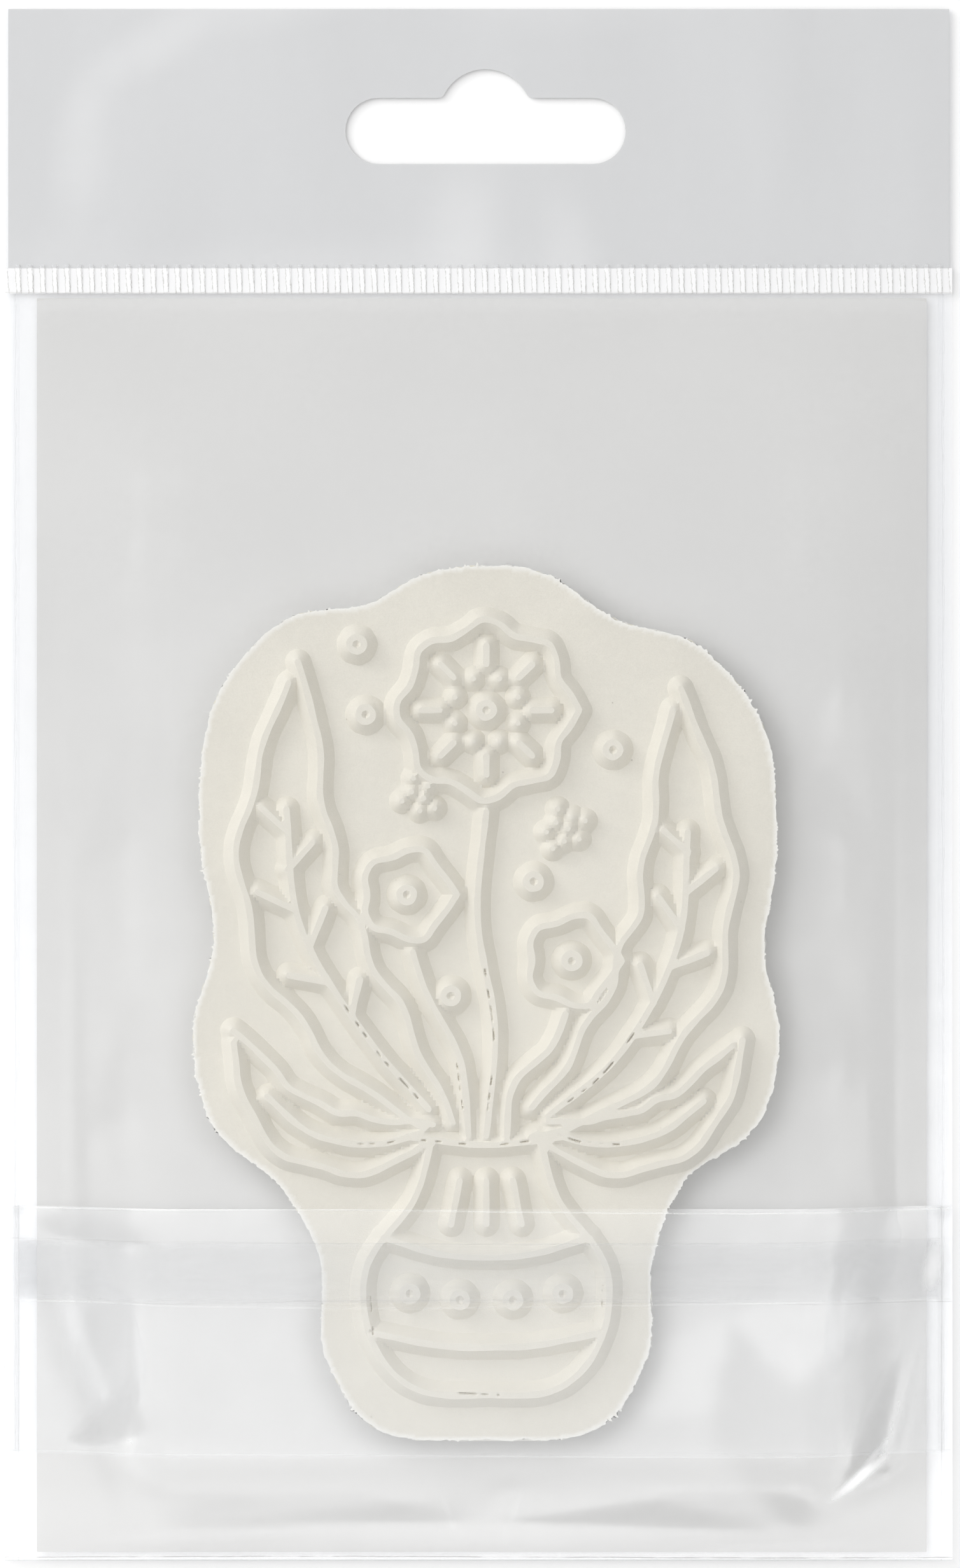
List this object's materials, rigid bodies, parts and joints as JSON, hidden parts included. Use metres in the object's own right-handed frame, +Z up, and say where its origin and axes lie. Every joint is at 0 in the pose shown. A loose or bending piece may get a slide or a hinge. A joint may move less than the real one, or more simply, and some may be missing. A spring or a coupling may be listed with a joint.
{
  "type": "cling stamp",
  "caption": "Cling-mounted rubber stamp with a moulded bouquet relief on a foam cushion, held on a storage card in a clear hanging pouch with a fold-over flap.",
  "frame": {"origin": "middle of the pouch's back face, where it lies on a table", "axes": "+Z up through the layers towards the printing relief, +Y towards the header, +X to the right seen from the front"},
  "size_m": [0.1118, 0.1834, 0.0071],
  "materials": {
    "clear_film": "gloss",
    "welded_film": "satin",
    "header_sheet": "satin",
    "card_board": "matte",
    "cling_vinyl": "gloss",
    "cushion_foam": "matte",
    "adhesive": "satin",
    "stamp_rubber": "matte"
  },
  "bodies": {
    "pouch": {"back_film": "clear_film", "header_panel": "header_sheet", "header_cover_film": "clear_film", "seal_band": "welded_film", "front_film": "clear_film", "side_seam_left": "welded_film", "side_seam_right": "welded_film"},
    "flap": {"flap_film": "clear_film", "adhesive_strip": "adhesive"},
    "card": {"storage_card": "card_board"},
    "stamp": {"cling_skin": "cling_vinyl", "foam_cushion": "cushion_foam", "bond_adhesive": "adhesive", "rubber_die": "stamp_rubber"}
  },
  "joints": [
    {"name": "card_slide", "type": "slide", "parent": "pouch", "child": "card", "axis": [0, -1, 0], "range_m": [0, 0.155], "deforming": ["front_film"]},
    {"name": "flap_hinge", "type": "hinge", "parent": "pouch", "child": "flap", "pos_m": [0, -0.09165, 0.00004], "axis": [1, 0, 0], "range_deg": [0, 180], "deforming": ["flap_film", "adhesive_strip"]},
    {"name": "stamp_peel", "type": "hinge", "parent": "card", "child": "stamp", "pos_m": [0.0009, 0.026, 0.00058], "axis": [-1, 0, 0], "range_deg": [0, 60]}
  ],
  "couplings": [
    {"joint": "flap_hinge", "follows": "card_slide", "rad_per_m": 20.268},
    {"joint": "stamp_peel", "follows": "card_slide", "rad_per_m": 6.756}
  ]
}
